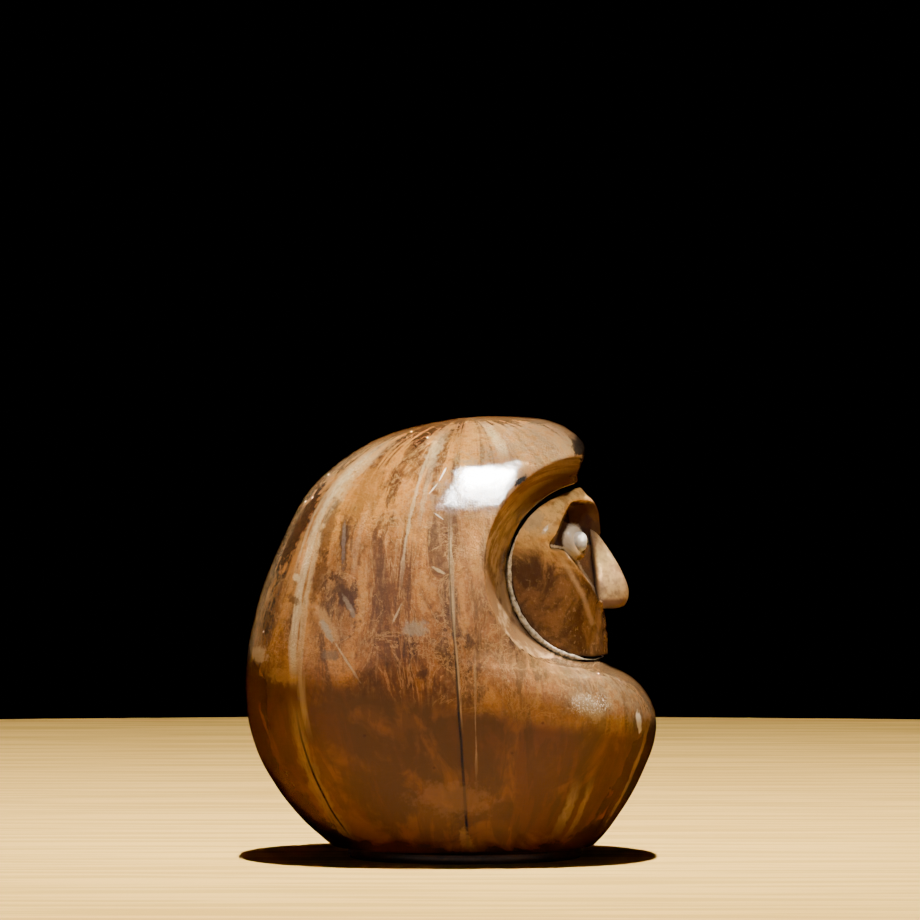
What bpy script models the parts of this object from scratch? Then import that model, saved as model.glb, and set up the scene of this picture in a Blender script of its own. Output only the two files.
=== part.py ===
"""Carved daruma doll, about 45 mm tall: a hooded robe cut from one hard nut, a separate face let into the
hood, an inlaid nose and eyes, and a turned plug that closes the base and is the foot it stands on.

Run with: blender --background --python part.py

World frame: +Z up, origin on the ground under the middle of the doll, the doll faces -Y. Shapes are described
in millimetres as (forward, up) in the doll's middle plane, and "side" is the distance from that plane.
"""

import math

import bmesh
import bpy
from mathutils import Matrix, Vector

MM = 0.001

# ---- driving dimensions, millimetres -------------------------------------------------------------------
FOOT_HEIGHT = 1.2
HALF_WIDTH = 19.0
HEART = (0.0, 20.5)  # (forward, up): the point that the robe's outline is measured from
ROBE_SEGMENTS = 88
ROBE_RINGS = 32
FULLNESS = 2.3  # superellipse power of the robe across its width; 2 is a plain ellipse

# The robe's outline in the middle plane, (forward, up), from the crown forwards and down round the back.
ROBE_OUTLINE = (
    (6.5, 45.0),
    (10.6, 44.4),
    (13.0, 42.9),
    (13.8, 41.4),
    (13.1, 38.9),
    (12.7, 34.0),
    (12.9, 26.0),
    (13.9, 22.0),
    (15.6, 19.9),
    (18.4, 18.4),
    (20.4, 16.0),
    (21.0, 13.4),
    (20.3, 10.3),
    (17.6, 5.0),
    (13.8, 0.7),
    (6.0, -3.0),
    (-4.0, -2.8),
    (-10.6, 0.2),
    (-15.6, 4.2),
    (-19.2, 9.4),
    (-20.8, 14.4),
    (-21.0, 19.6),
    (-19.7, 26.2),
    (-17.2, 32.6),
    (-13.9, 38.2),
    (-7.8, 42.6),
    (-0.5, 44.65),
)

# The hollow for the face: a round hollow across the doll, flared outwards to a rim on the hood.
FACE_CENTRE = (14.7, 29.25)
SEAT_RADIUS = 9.1
RIM_RADIUS = 11.3
RIM_RISE = 0.7  # how much further out the rim is at the brow, and further in under the chin
CHIN_RIM_RADIUS = 9.6  # under the chin the hollow hardly flares and runs softly out into the chest
MIN_FLARE_WIDTH = 1.5
CHEST_ANGLE = 300.0  # the direction from the hollow's centre to the chest, where its flare is least
CHEST_BLEND = (0.2, 0.8)  # cosines of the angle from that direction where the flare starts and ends falling

# The face: half an upright elliptic column, leaning forwards at the chin.
FACE_HALF_WIDTH = 11.0
CHIN_HEIGHT = 20.2
CHIN_FRONT = 16.1
FACE_LEAN = 0.09  # how far the front goes back for each millimetre up from the chin

# Sockets and cheek pockets: ellipsoids across, into and up the face, turned to follow its curve.
SOCKET_SIDE = 6.0
SOCKET_HEIGHT = 33.2
SOCKET_RADII = (4.4, 1.7, 2.6)
SOCKET_TURN = 30.0
POCKET_SIDE = 4.2
POCKET_HEIGHT = 28.4
POCKET_RADII = (1.9, 1.0, 2.8)
POCKET_TURN = 18.0

EYE_SIDE = 4.5
EYE_HEIGHT = 32.3
EYE_RADIUS = 1.45
EYE_DEPTH = 1.2
EYE_SUNK = 0.9
PUPIL_RADIUS = 0.55
PUPIL_LENGTH = 1.1

# The nose from its bridge down: height, front, half width at the root, half width at the front.
NOSE_LEVELS = (
    (33.3, 14.9, 1.1, 0.6),
    (31.1, 16.4, 1.5, 0.8),
    (29.2, 17.5, 2.0, 1.0),
    (27.3, 18.1, 2.5, 1.3),
    (25.5, 17.8, 2.7, 1.4),
)
NOSE_LET_IN = 1.6

BEAD_RADIUS = 0.3
BEAD_START_ANGLE = 128.0  # where the bead starts at each temple, round the hollow from forward
DOWEL_RADIUS = 1.5
DOWEL_IN_FACE = 4.0
DOWEL_IN_ROBE = 5.0

FOOT_CENTRE_FORWARD = 1.4
FOOT_RADIUS = 12.0
SPIGOT_RADIUS = 6.2
SPIGOT_LENGTH = 6.5

FIT = 0.2  # clearance between large pieces
INLAY_FIT = 0.1  # clearance round the small inlays

COLLECTION = "carved_daruma"
CUTTERS = "cutters"


# ---- outline and surface formulas ----------------------------------------------------------------------
def catmull_rom(points, steps):
    """Points along a closed, smooth curve through the given points."""
    made = []
    count = len(points)
    for i in range(count):
        p0, p1, p2, p3 = (Vector(points[(i + k - 1) % count]) for k in range(4))
        for step in range(steps):
            t = step / steps
            made.append(
                0.5
                * (
                    2 * p1
                    + (p2 - p0) * t
                    + (2 * p0 - 5 * p1 + 4 * p2 - p3) * t * t
                    + (3 * p1 - p0 - 3 * p2 + p3) * t * t * t
                )
            )
    return made


def even_outline(points, count):
    """The same closed curve as count points at equal distances along it."""
    lengths = [0.0]
    for here, there in zip(points, points[1:] + points[:1]):
        lengths.append(lengths[-1] + (there - here).length)
    made = []
    j = 0
    for i in range(count):
        goal = lengths[-1] * i / count
        while lengths[j + 1] < goal:
            j += 1
        share = (goal - lengths[j]) / (lengths[j + 1] - lengths[j])
        made.append(points[j].lerp(points[(j + 1) % len(points)], share))
    return made


ROBE_RING = even_outline(catmull_rom(ROBE_OUTLINE, 24), ROBE_SEGMENTS)


def robe_reach(angle):
    """Distance from HEART to the robe's outline in the middle plane, at an angle up from forward."""
    ray = Vector((math.cos(angle), math.sin(angle)))
    heart = Vector(HEART)
    for here, there in zip(ROBE_RING, ROBE_RING[1:] + ROBE_RING[:1]):
        along = there - here
        turn = ray.x * along.y - ray.y * along.x
        if abs(turn) < 1e-9:
            continue
        gap = here - heart
        distance = (gap.x * along.y - gap.y * along.x) / turn
        share = (gap.x * ray.y - gap.y * ray.x) / turn
        if distance > 0 and -1e-6 <= share <= 1 + 1e-6:
            return distance
    raise ValueError("the robe's outline does not go round its heart")


def robe_side(forward, up):
    """How far out the uncut robe reaches beside a point of the middle plane; 0 outside its outline."""
    df, du = forward - HEART[0], up - HEART[1]
    share = math.hypot(df, du) / robe_reach(math.atan2(du, df))
    if share >= 1.0:
        return 0.0
    return HALF_WIDTH * (1.0 - share**FULLNESS) ** (1.0 / FULLNESS)


def face_front(up):
    """How far forward the face's middle line is at a height."""
    return CHIN_FRONT - FACE_LEAN * (up - CHIN_HEIGHT)


def seat_side(angle):
    """How far out the edge of the face is, at an angle round the hollow."""
    back = FACE_CENTRE[0] - SEAT_RADIUS
    forward = FACE_CENTRE[0] + SEAT_RADIUS * math.cos(angle)
    up = FACE_CENTRE[1] + SEAT_RADIUS * math.sin(angle)
    share = (forward - back) / (face_front(up) - back)
    return FACE_HALF_WIDTH * math.sqrt(max(0.0, 1.0 - share * share))


def hollow_radius(angle, side):
    """Radius of the hollow at an angle round it and a distance from the middle plane."""
    rim = RIM_RADIUS + RIM_RISE * math.sin(angle)
    start_blend, end_blend = CHEST_BLEND
    below = smooth_step((math.cos(angle - math.radians(CHEST_ANGLE)) - start_blend) / (end_blend - start_blend))
    rim += (CHIN_RIM_RADIUS - rim) * below
    start = seat_side(angle)
    rim_side = robe_side(FACE_CENTRE[0] + rim * math.cos(angle), FACE_CENTRE[1] + rim * math.sin(angle))
    rim_side = max(rim_side, start + MIN_FLARE_WIDTH)
    return SEAT_RADIUS + (rim - SEAT_RADIUS) * min(1.0, max(0.0, (side - start) / (rim_side - start)))


def smooth_step(share):
    share = min(1.0, max(0.0, share))
    return share * share * (3.0 - 2.0 * share)


def place(side, forward, up):
    """A point in the world frame, still in millimetres."""
    return Vector((side, -forward, up))


# ---- Blender helpers -----------------------------------------------------------------------------------
def clear_scene():
    for obj in list(bpy.data.objects):
        bpy.data.objects.remove(obj, do_unlink=True)


def collection(name):
    made = bpy.data.collections.new(name)
    bpy.context.scene.collection.children.link(made)
    return made


def material(name, colour, roughness, metallic=0.0):
    made = bpy.data.materials.new(name)
    made.use_nodes = True
    shader = made.node_tree.nodes["Principled BSDF"]
    shader.inputs["Base Color"].default_value = (*colour, 1.0)
    shader.inputs["Roughness"].default_value = roughness
    shader.inputs["Metallic"].default_value = metallic
    return made


def mesh_object(name, bm, group, skin=None):
    """Make an object from a mesh drawn in millimetres; without a skin it is a cutter."""
    bm.normal_update()
    bmesh.ops.recalc_face_normals(bm, faces=bm.faces)
    bmesh.ops.scale(bm, verts=bm.verts, vec=(MM, MM, MM))
    mesh = bpy.data.meshes.new(name)
    bm.to_mesh(mesh)
    bm.free()
    obj = bpy.data.objects.new(name, mesh)
    group.objects.link(obj)
    if skin is None:
        obj.hide_render = True
        obj.display_type = "WIRE"
    else:
        mesh.materials.append(skin)
        mesh.shade_smooth()
        mesh.set_sharp_from_angle(angle=math.radians(40))
    return obj


def boolean(obj, other, operation="DIFFERENCE"):
    modifier = obj.modifiers.new(f"{operation.lower()}_{other.name}", "BOOLEAN")
    modifier.operation = operation
    modifier.object = other
    modifier.solver = "EXACT"


def column(name, group, radius, low, high, centre=(0.0, 0.0), segments=32, skin=None):
    """An upright cylinder between two heights, centred at (side, forward)."""
    bm = bmesh.new()
    bmesh.ops.create_cone(bm, cap_ends=True, segments=segments, radius1=radius, radius2=radius, depth=high - low)
    bmesh.ops.translate(bm, verts=bm.verts, vec=place(centre[0], centre[1], (low + high) / 2))
    return mesh_object(name, bm, group, skin)


def ball(name, group, centre, radii, skin=None, segments=20, turn=0.0):
    """An ellipsoid with its centre at (side, forward, up) and its radii along those ways, turned about up."""
    bm = bmesh.new()
    bmesh.ops.create_uvsphere(bm, u_segments=segments, v_segments=segments // 2, radius=1.0)
    bmesh.ops.scale(bm, verts=bm.verts, vec=radii)
    bmesh.ops.rotate(bm, verts=bm.verts, matrix=Matrix.Rotation(math.radians(turn), 3, "Z"))
    bmesh.ops.translate(bm, verts=bm.verts, vec=place(*centre))
    return mesh_object(name, bm, group, skin)


def pin_forward(name, group, radius, back, front, side, up, skin=None, segments=20):
    """A cylinder along the doll's forward direction."""
    bm = bmesh.new()
    depth = front - back
    bmesh.ops.create_cone(bm, cap_ends=True, segments=segments, radius1=radius, radius2=radius, depth=depth)
    for vert in bm.verts:
        x, y, z = vert.co
        vert.co = Vector((x, z, y)) + place(side, (back + front) / 2, up)
    return mesh_object(name, bm, group, skin)


# ---- the pieces ----------------------------------------------------------------------------------------
def uncut_robe(group, skin):
    """The nut's round body: a sphere with its poles at the sides, its rings shrunk copies of the outline."""
    bm = bmesh.new()
    bmesh.ops.create_uvsphere(bm, u_segments=ROBE_SEGMENTS, v_segments=ROBE_RINGS, radius=1.0)
    power = 2.0 / FULLNESS
    heart = Vector(HEART)
    for vert in bm.verts:
        x, y, z = vert.co
        spoke = round(math.atan2(y, x) / (2 * math.pi) * ROBE_SEGMENTS) % ROBE_SEGMENTS
        at = heart.lerp(ROBE_RING[spoke], math.hypot(x, y) ** power)
        side = math.copysign(abs(z) ** power, z) * HALF_WIDTH
        vert.co = place(side, at.x, at.y)
    return mesh_object("robe", bm, group, skin)


def face_hollow(group, segments=72, slices=14):
    """The cutter for the face's hollow: rings round an axis that runs across the doll."""
    bm = bmesh.new()
    reach = HALF_WIDTH + 2.0
    bmesh.ops.create_cone(bm, cap_ends=True, segments=segments, radius1=1.0, radius2=1.0, depth=2 * reach)
    long_edges = [e for e in bm.edges if abs(e.verts[0].co.z - e.verts[1].co.z) > reach]
    bmesh.ops.subdivide_edges(bm, edges=long_edges, cuts=2 * slices - 1)
    for vert in bm.verts:
        side, angle = vert.co.z, math.atan2(vert.co.y, vert.co.x)
        radius = hollow_radius(angle, abs(side))
        vert.co = place(
            side, FACE_CENTRE[0] + radius * math.cos(angle), FACE_CENTRE[1] + radius * math.sin(angle)
        )
    bmesh.ops.triangulate(bm, faces=bm.faces)
    return mesh_object("face_hollow", bm, group)


def ground_cutter(group):
    """Everything below the sawn-off base of the robe."""
    bm = bmesh.new()
    bmesh.ops.create_cube(bm, size=1.0)
    bmesh.ops.scale(bm, verts=bm.verts, vec=(60.0, 60.0, 20.0))
    bmesh.ops.translate(bm, verts=bm.verts, vec=(0.0, 0.0, FOOT_HEIGHT - 10.0))
    return mesh_object("base_saw_cut", bm, group)


def build_robe(group, cutters, skin):
    robe = uncut_robe(group, skin)
    boolean(robe, ground_cutter(cutters))
    boolean(robe, face_hollow(cutters))
    centre = (0.0, FOOT_CENTRE_FORWARD)
    top = FOOT_HEIGHT + SPIGOT_LENGTH + FIT
    boolean(robe, column("plug_bore", cutters, SPIGOT_RADIUS + FIT, -1.0, top, centre))
    back = FACE_CENTRE[0] - SEAT_RADIUS - DOWEL_IN_ROBE - FIT
    boolean(
        robe,
        pin_forward("robe_dowel_hole", cutters, DOWEL_RADIUS + INLAY_FIT, back, FACE_CENTRE[0], 0.0, FACE_CENTRE[1]),
    )
    return robe


def face_column(name, group, grow, skin=None):
    """The half column that the face's front is cut from, grown by a clearance."""
    bm = bmesh.new()
    bmesh.ops.create_cone(bm, cap_ends=True, segments=72, radius1=1.0, radius2=1.0, depth=1.0)
    back = FACE_CENTRE[0] - SEAT_RADIUS
    for vert in bm.verts:
        up = FACE_CENTRE[1] + vert.co.z * 2.4 * SEAT_RADIUS
        depth = face_front(up) - back + grow
        vert.co = place(vert.co.x * (FACE_HALF_WIDTH + grow), back + vert.co.y * depth, up)
    return mesh_object(name, bm, group, skin)


def cross_bar(name, group, radius, segments=72):
    """A round bar across the doll, centred on the hollow."""
    bm = bmesh.new()
    depth = 2 * HALF_WIDTH
    bmesh.ops.create_cone(bm, cap_ends=True, segments=segments, radius1=radius, radius2=radius, depth=depth)
    for vert in bm.verts:
        x, y, z = vert.co
        vert.co = Vector((z, x, y)) + place(0.0, *FACE_CENTRE)
    return mesh_object(name, bm, group)


def nose_block(name, group, grow, skin=None):
    """The nose as a loft of four-cornered levels, grown by a clearance."""
    bm = bmesh.new()
    rings = []
    last = len(NOSE_LEVELS) - 1
    for i, (up, front, root_half, front_half) in enumerate(NOSE_LEVELS):
        height = up + grow * (i == 0) - grow * (i == last)
        back = face_front(up) - NOSE_LET_IN - grow
        corners = ((1, back, root_half), (1, front, front_half), (-1, front, front_half), (-1, back, root_half))
        rings.append([bm.verts.new(place(s * (half + grow), f, height)) for s, f, half in corners])
    for above, below in zip(rings, rings[1:]):
        for i in range(4):
            j = (i + 1) % 4
            bm.faces.new((above[i], above[j], below[j], below[i]))
    bm.faces.new(rings[0])
    bm.faces.new(rings[-1])
    bmesh.ops.triangulate(bm, faces=bm.faces)
    return mesh_object(name, bm, group, skin)


def face_surface(side, up):
    """How far forward the uncut face is, beside its middle line."""
    back = FACE_CENTRE[0] - SEAT_RADIUS
    return back + (face_front(up) - back) * math.sqrt(1.0 - (side / FACE_HALF_WIDTH) ** 2)


def eye_centre(side):
    return (side * EYE_SIDE, face_surface(EYE_SIDE, EYE_HEIGHT) - EYE_SUNK, EYE_HEIGHT)


def build_face(group, cutters, skin):
    face = face_column("face", group, 0.0, skin)
    boolean(face, cross_bar("face_round_back", cutters, SEAT_RADIUS - FIT), "INTERSECT")
    for label, side in (("left", 1), ("right", -1)):
        socket = (side * SOCKET_SIDE, face_surface(SOCKET_SIDE, SOCKET_HEIGHT), SOCKET_HEIGHT)
        boolean(face, ball(f"socket_{label}", cutters, socket, SOCKET_RADII, turn=side * SOCKET_TURN))
        pocket = (side * POCKET_SIDE, face_surface(POCKET_SIDE, POCKET_HEIGHT), POCKET_HEIGHT)
        boolean(face, ball(f"cheek_pocket_{label}", cutters, pocket, POCKET_RADII, turn=side * POCKET_TURN))
        seat = tuple(r + INLAY_FIT for r in (EYE_RADIUS, EYE_DEPTH, EYE_RADIUS))
        boolean(face, ball(f"eye_seat_{label}", cutters, eye_centre(side), seat))
    boolean(face, nose_block("nose_pocket", cutters, INLAY_FIT))
    back = FACE_CENTRE[0] - SEAT_RADIUS
    boolean(
        face,
        pin_forward(
            "face_dowel_hole",
            cutters,
            DOWEL_RADIUS + INLAY_FIT,
            back - 1.0,
            back + DOWEL_IN_FACE + FIT,
            0.0,
            FACE_CENTRE[1],
        ),
    )
    return face


def build_eyes(group, cutters, white, black):
    for label, side in (("left", 1), ("right", -1)):
        across, forward, up = eye_centre(side)
        eye = ball(f"eye_{label}", group, (across, forward, up), (EYE_RADIUS, EYE_DEPTH, EYE_RADIUS), white)
        front = forward + EYE_DEPTH
        hole = pin_forward(
            f"pupil_hole_{label}",
            cutters,
            PUPIL_RADIUS + INLAY_FIT,
            front - PUPIL_LENGTH - INLAY_FIT,
            front + 1.0,
            across,
            up,
        )
        boolean(eye, hole)
        pin_forward(f"pupil_{label}", group, PUPIL_RADIUS, front - PUPIL_LENGTH, front + 0.05, across, up, black)


def build_seat_bead(group, skin):
    """The pale bead that fills the corner between the face and the hollow, from temple to temple under the chin."""
    curve = bpy.data.curves.new("seat_bead", "CURVE")
    curve.dimensions = "3D"
    curve.bevel_depth = BEAD_RADIUS * MM
    curve.bevel_resolution = 2
    curve.use_fill_caps = True
    count = 24
    half = []
    back = FACE_CENTRE[0] - SEAT_RADIUS
    radius = SEAT_RADIUS - BEAD_RADIUS - INLAY_FIT
    temple = math.radians(BEAD_START_ANGLE)
    chin = 2 * math.pi - math.acos((CHIN_FRONT - FACE_CENTRE[0]) / radius)
    for i in range(count):
        angle = chin - (chin - temple) * (1.0 - i / count) ** 2
        forward = FACE_CENTRE[0] + radius * math.cos(angle)
        up = FACE_CENTRE[1] + radius * math.sin(angle)
        depth = face_front(up) - back
        side = FACE_HALF_WIDTH * math.sqrt(max(0.0, 1.0 - ((forward - back) / depth) ** 2))
        outward = Vector((side / FACE_HALF_WIDTH**2, (forward - back) / depth**2)).normalized()
        away = outward * (BEAD_RADIUS + INLAY_FIT)
        half.append((side + away.x, forward + away.y, up))
    route = half + [(-s, f, u) for s, f, u in reversed(half)]
    spline = curve.splines.new("POLY")
    spline.points.add(len(route) - 1)
    for point, spot in zip(spline.points, route):
        point.co = (*(place(*spot) * MM), 1.0)
    curve.materials.append(skin)
    bead = bpy.data.objects.new("seat_bead", curve)
    group.objects.link(bead)
    return bead


def build_dowel(group, skin):
    back = FACE_CENTRE[0] - SEAT_RADIUS
    pin_forward(
        "face_dowel",
        group,
        DOWEL_RADIUS,
        back - DOWEL_IN_ROBE,
        back + DOWEL_IN_FACE,
        0.0,
        FACE_CENTRE[1],
        skin,
    )


def build_base_plug(group, skin):
    """A turned plug: a round foot with a spigot, as a profile of (radius, height) spun about its axis."""
    rounding = 0.3
    top = FOOT_HEIGHT - FIT
    profile = (
        (0.0, top + SPIGOT_LENGTH),
        (SPIGOT_RADIUS - rounding, top + SPIGOT_LENGTH),
        (SPIGOT_RADIUS, top + SPIGOT_LENGTH - rounding),
        (SPIGOT_RADIUS, top),
        (FOOT_RADIUS - rounding, top),
        (FOOT_RADIUS, top - rounding),
        (FOOT_RADIUS, rounding),
        (FOOT_RADIUS - rounding, 0.0),
        (0.0, 0.0),
    )
    bm = bmesh.new()
    verts = [bm.verts.new((r * MM, 0.0, z * MM)) for r, z in profile]
    for a, b in zip(verts, verts[1:]):
        bm.edges.new((a, b))
    mesh = bpy.data.meshes.new("base_plug")
    bm.to_mesh(mesh)
    bm.free()
    mesh.materials.append(skin)
    plug = bpy.data.objects.new("base_plug", mesh)
    plug.location = place(0.0, FOOT_CENTRE_FORWARD, 0.0) * MM
    group.objects.link(plug)
    screw = plug.modifiers.new("turn", "SCREW")
    screw.steps = screw.render_steps = 64
    screw.use_merge_vertices = True
    screw.merge_threshold = 0.00001
    screw.use_smooth_shade = False
    return plug


def main():
    clear_scene()
    parts = collection(COLLECTION)
    cutters = collection(CUTTERS)
    skin = material("nut_skin", (0.30, 0.13, 0.045), 0.3)
    carved = material("carved_face", (0.34, 0.17, 0.06), 0.3)
    ivory = material("nut_ivory", (0.66, 0.50, 0.34), 0.4)
    bone = material("eye_bone", (0.80, 0.74, 0.66), 0.2)
    horn = material("black_horn", (0.02, 0.018, 0.016), 0.15)
    putty = material("pale_bead", (0.62, 0.55, 0.44), 0.5)
    bamboo = material("dowel_wood", (0.60, 0.45, 0.25), 0.6)
    dark_wood = material("plug_wood", (0.16, 0.08, 0.035), 0.5)

    build_robe(parts, cutters, skin)
    build_face(parts, cutters, carved)
    nose_block("nose", parts, 0.0, ivory)
    build_eyes(parts, cutters, bone, horn)
    build_seat_bead(parts, putty)
    build_dowel(parts, bamboo)
    build_base_plug(parts, dark_wood)


main()
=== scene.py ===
import math

import bmesh
import bpy
import numpy as np
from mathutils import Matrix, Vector, noise


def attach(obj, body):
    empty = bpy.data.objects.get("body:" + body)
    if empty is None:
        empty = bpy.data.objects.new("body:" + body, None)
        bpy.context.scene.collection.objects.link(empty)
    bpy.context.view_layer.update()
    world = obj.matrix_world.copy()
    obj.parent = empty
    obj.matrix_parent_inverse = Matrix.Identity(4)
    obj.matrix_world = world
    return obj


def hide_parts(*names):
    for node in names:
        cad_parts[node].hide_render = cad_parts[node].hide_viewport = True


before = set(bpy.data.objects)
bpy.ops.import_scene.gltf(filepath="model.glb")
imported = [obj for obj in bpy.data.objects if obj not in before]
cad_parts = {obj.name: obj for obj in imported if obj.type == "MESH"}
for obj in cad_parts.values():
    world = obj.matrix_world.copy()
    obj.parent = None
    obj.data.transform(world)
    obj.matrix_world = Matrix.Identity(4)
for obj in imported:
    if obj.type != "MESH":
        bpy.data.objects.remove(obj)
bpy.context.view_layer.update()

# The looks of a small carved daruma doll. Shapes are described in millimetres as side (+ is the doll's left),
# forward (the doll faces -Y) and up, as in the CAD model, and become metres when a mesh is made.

MM = 0.001
MM_PER_METRE = 1000.0

# ---- sizes shared with the CAD model --------------------------------------------------------------------
HEART = np.array((0.0, 20.5))
FULLNESS = 2.3
HALF_WIDTH = 19.0
FOOT_HEIGHT = 1.2
FOOT_CENTRE_FORWARD = 1.4
ROBE_OUTLINE = (
    (6.5, 45.0), (10.6, 44.4), (13.0, 42.9), (13.8, 41.4), (13.1, 38.9), (12.7, 34.0), (12.9, 26.0),
    (13.9, 22.0), (15.6, 19.9), (18.4, 18.4), (20.4, 16.0), (21.0, 13.4), (20.3, 10.3), (17.6, 5.0),
    (13.8, 0.7), (6.0, -3.0), (-4.0, -2.8), (-10.6, 0.2), (-15.6, 4.2), (-19.2, 9.4), (-20.8, 14.4),
    (-21.0, 19.6), (-19.7, 26.2), (-17.2, 32.6), (-13.9, 38.2), (-7.8, 42.6), (-0.5, 44.65),
)
FACE_CENTRE = np.array((14.7, 29.25))
SEAT_RADIUS = 9.1
RIM_RADIUS = 11.3
RIM_RISE = 0.7
CHIN_RIM_RADIUS = 9.6
MIN_FLARE_WIDTH = 1.5
CHEST_ANGLE = math.radians(300.0)
CHEST_BLEND = (0.2, 0.8)
FACE_BACK = FACE_CENTRE[0] - SEAT_RADIUS
FACE_HALF_WIDTH = 11.0
CHIN_HEIGHT = 20.2
CHIN_FRONT = 16.1
FACE_LEAN = 0.09
FIT = 0.2

# ---- sizes of the carving -------------------------------------------------------------------------------
FOREHEAD_START = 35.0  # the forehead rounds back above this height
FOREHEAD_SPAN = 2.85
FOREHEAD_SETBACK = 1.46
FOREHEAD_POWER = 1.7
TEMPLE_START = 32.5  # the temples slope back above this height
TEMPLE_SPAN = 6.0
TEMPLE_SETBACK = 1.5
TEMPLE_POWER = 1.5
FACE_DEPTH = 9.5  # from back to front, on average over its height
FACE_BLANK = (17.5, 41.0)  # bottom and top of the block before its outline is cut
EYE_PLACE = (4.9, 13.0, 32.25)  # side, forward and up
EYE_SIZE = (1.1, 0.85, 1.05)
LID_LINE = ((10.2, 31.85), (11.7, 31.6), (12.4, 30.8), (13.45, 29.15), (15.3, 26.2))  # forward and up
FOLD_LINE = ((11.2, 30.6), (13.3, 26.9), (14.3, 24.0))
NOSE_ROOT_DEPTH = 0.8
# the nose is painted with shade below this height
NOSE_SHADE_TOP = 26.3


# ---- curves and grids -----------------------------------------------------------------------------------
def smooth_curve(points, steps=24, closed=True):
    """A Catmull-Rom curve through the points, as an array."""
    points = np.asarray(points, float)
    count = len(points)
    t = (np.arange(steps) / steps)[:, None]
    made = []
    for i in range(count if closed else count - 1):
        if closed:
            p0, p1, p2, p3 = (points[(i + k - 1) % count] for k in range(4))
        else:
            p0, p1, p2, p3 = (points[min(max(i + k - 1, 0), count - 1)] for k in range(4))
        made.append(
            0.5 * (2 * p1 + (p2 - p0) * t + (2 * p0 - 5 * p1 + 4 * p2 - p3) * t**2
                   + (3 * p1 - p0 - 3 * p2 + p3) * t**3)
        )
    if not closed:
        made.append(points[-1:])
    return np.concatenate(made)


def evenly(points, count, closed=True):
    """The same curve as count points at equal distances."""
    path = np.concatenate([points, points[:1]]) if closed else points
    length = np.concatenate([[0.0], np.cumsum(np.linalg.norm(np.diff(path, axis=0), axis=1))])
    goals = np.linspace(0.0, length[-1], count, endpoint=not closed)
    return np.stack([np.interp(goals, length, path[:, k]) for k in range(path.shape[1])], axis=1)


def smooth_step(share):
    share = np.clip(share, 0.0, 1.0)
    return share * share * (3.0 - 2.0 * share)


ROBE_CURVE = smooth_curve(ROBE_OUTLINE)
_spokes = ROBE_CURVE - HEART
_order = np.argsort(np.arctan2(_spokes[:, 1], _spokes[:, 0]))
REACH_ANGLES = np.arctan2(_spokes[:, 1], _spokes[:, 0])[_order]
REACHES = np.linalg.norm(_spokes, axis=1)[_order]


def robe_reach(angle):
    return np.interp(angle, REACH_ANGLES, REACHES, period=2 * math.pi)


def robe_side(forward, up):
    """How far out the uncut robe reaches beside points of the middle plane; 0 outside its outline."""
    df, du = forward - HEART[0], up - HEART[1]
    share = np.minimum(np.hypot(df, du) / robe_reach(np.arctan2(du, df)), 1.0)
    return HALF_WIDTH * (1.0 - share**FULLNESS) ** (1.0 / FULLNESS)


def face_front(up):
    return CHIN_FRONT - FACE_LEAN * (up - CHIN_HEIGHT)


def brow_front(up):
    """The front of the face with the forehead rounded back under the hood."""
    rise = np.maximum(0.0, (up - FOREHEAD_START) / FOREHEAD_SPAN)
    return face_front(up) - FOREHEAD_SETBACK * rise**FOREHEAD_POWER


def seat_side(angle):
    """How far out the edge of the face is, at angles round the hollow."""
    forward = FACE_CENTRE[0] + SEAT_RADIUS * np.cos(angle)
    up = FACE_CENTRE[1] + SEAT_RADIUS * np.sin(angle)
    share = (forward - FACE_BACK) / (face_front(up) - FACE_BACK)
    return FACE_HALF_WIDTH * np.sqrt(np.maximum(0.0, 1.0 - share * share))


def hollow_radius(angle, side):
    """Radius of the hollow at angles round it and distances from the middle plane."""
    rim = RIM_RADIUS + RIM_RISE * np.sin(angle)
    start_blend, end_blend = CHEST_BLEND
    rim = rim + (CHIN_RIM_RADIUS - rim) * smooth_step(
        (np.cos(angle - CHEST_ANGLE) - start_blend) / (end_blend - start_blend)
    )
    start = seat_side(angle)
    rim_side = robe_side(FACE_CENTRE[0] + rim * np.cos(angle), FACE_CENTRE[1] + rim * np.sin(angle))
    rim_side = np.maximum(rim_side, start + MIN_FLARE_WIDTH)
    return SEAT_RADIUS + (rim - SEAT_RADIUS) * np.clip((side - start) / (rim_side - start), 0.0, 1.0)


def grid_object(name, side, forward, up):
    """A closed tube of rings, from arrays of rows by columns. Columns go round; fans close the ends."""
    rows, columns = side.shape
    points = np.stack([side, -forward, up], axis=2).reshape(-1, 3) * MM
    index = np.arange(rows * columns).reshape(rows, columns)
    following = np.roll(index, -1, axis=1)
    quads = np.stack([index[:-1], index[1:], following[1:], following[:-1]], axis=2).reshape(-1, 4)
    middles = np.stack([points[index[0]].mean(axis=0), points[index[-1]].mean(axis=0)])
    first, last = len(points), len(points) + 1
    fans = [(first, a, b) for a, b in zip(index[0], following[0])]
    fans += [(last, b, a) for a, b in zip(index[-1], following[-1])]
    mesh = bpy.data.meshes.new(name)
    mesh.from_pydata(np.concatenate([points, middles]).tolist(), [], quads.tolist() + fans)
    bm = bmesh.new()
    bm.from_mesh(mesh)
    bmesh.ops.recalc_face_normals(bm, faces=bm.faces)
    bm.to_mesh(mesh)
    bm.free()
    obj = bpy.data.objects.new(name, mesh)
    bpy.context.scene.collection.objects.link(obj)
    return obj


def settle(obj):
    """Apply the object's modifiers."""
    graph = bpy.context.evaluated_depsgraph_get()
    mesh = bpy.data.meshes.new_from_object(obj.evaluated_get(graph))
    obj.modifiers.clear()
    obj.data = mesh
    mesh.shade_smooth()
    return obj


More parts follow.
